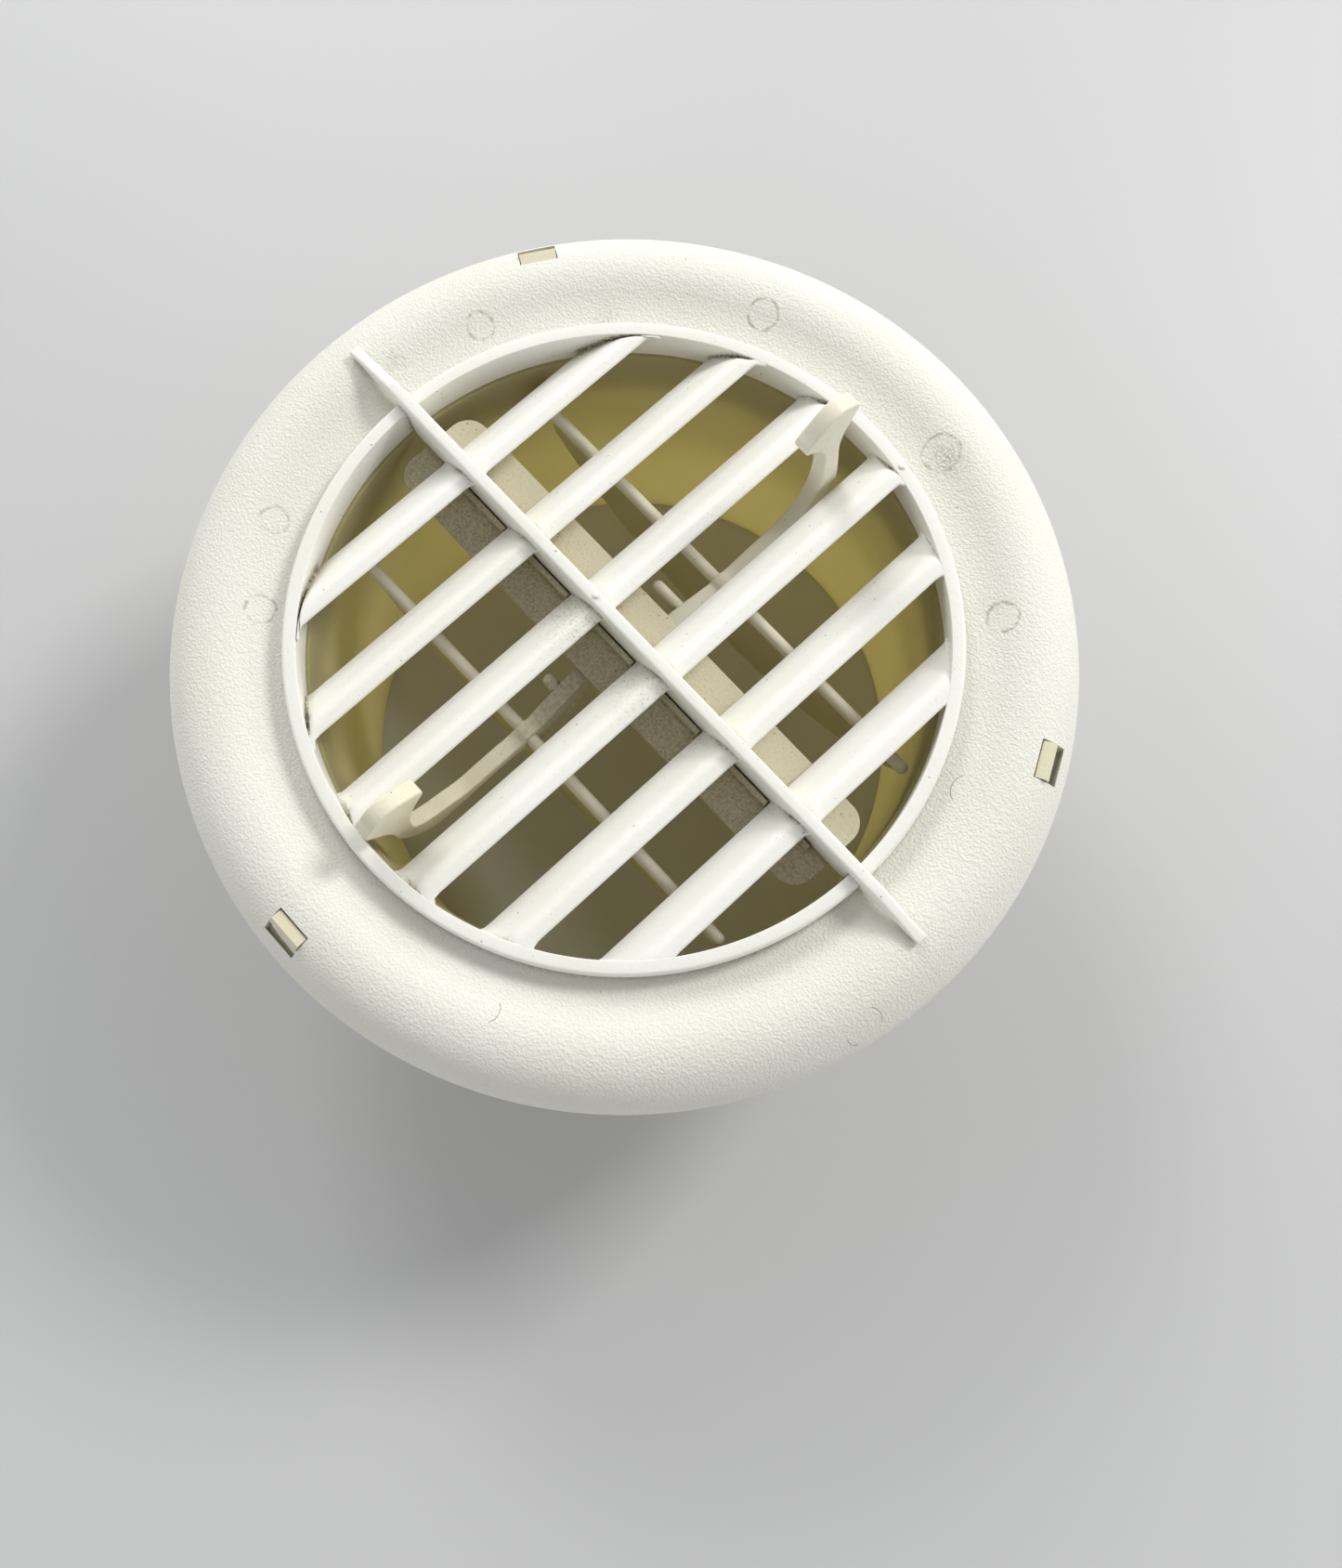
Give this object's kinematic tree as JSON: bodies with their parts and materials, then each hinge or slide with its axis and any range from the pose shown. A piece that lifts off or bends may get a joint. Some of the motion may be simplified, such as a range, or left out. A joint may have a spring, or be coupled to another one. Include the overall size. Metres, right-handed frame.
{
  "type": "roof vent cover",
  "caption": "Round ceiling air vent with a flared trim ring, a turning louvred grille with a central finger fin, and hinged dampers worked by levers through the louvres.",
  "frame": {"origin": "centre of the collar's rear end", "axes": "+Z points out of the grille's face into the room, X runs along the finger fin, Y runs along the louvres"},
  "size_m": [0.175, 0.175, 0.1026],
  "materials": {
    "trim_plastic": "fine pebbled moulding, aged cream white",
    "housing_plastic": "plain moulded, cream",
    "grille_plastic": "smooth satin white with dust in its corners",
    "damper_plastic": "smooth moulded, cream, dusty",
    "lever_plastic": "satin moulded, cream, dusty"
  },
  "bodies": {
    "housing": {"duct_collar": "housing_plastic", "ceiling_flange": "housing_plastic", "trim_ring": "trim_plastic"},
    "grille": {"grille_ring": "grille_plastic", "louvre_1": "grille_plastic", "louvre_2": "grille_plastic", "louvre_3": "grille_plastic", "louvre_4": "grille_plastic", "louvre_5": "grille_plastic", "louvre_6": "grille_plastic", "finger_fin": "grille_plastic", "damper_bar": "damper_plastic", "bar_stakes": "grille_plastic", "hinge_hanger_1": "grille_plastic", "hinge_hanger_2": "grille_plastic", "hinge_hanger_3": "grille_plastic", "hinge_hanger_4": "grille_plastic"},
    "damper_a": {"damper_plate_a": "damper_plastic", "damper_rod_a": "damper_plastic", "damper_lever_a": "lever_plastic"},
    "damper_b": {"damper_plate_b": "damper_plastic", "damper_rod_b": "damper_plastic", "damper_lever_b": "lever_plastic"}
  },
  "joints": [
    {"name": "grille_rotation", "type": "hinge", "parent": "housing", "child": "grille", "pos_m": [0, 0, 0.078], "axis": [0, 0, 1], "continuous": true},
    {"name": "damper_a_swing", "type": "hinge", "parent": "grille", "child": "damper_a", "pos_m": [0, 0.0246, 0.0603], "axis": [1, 0, 0], "range_deg": [-6, 86]},
    {"name": "damper_b_swing", "type": "hinge", "parent": "grille", "child": "damper_b", "pos_m": [0, -0.0246, 0.0603], "axis": [-1, 0, 0], "range_deg": [0, 92]}
  ]
}
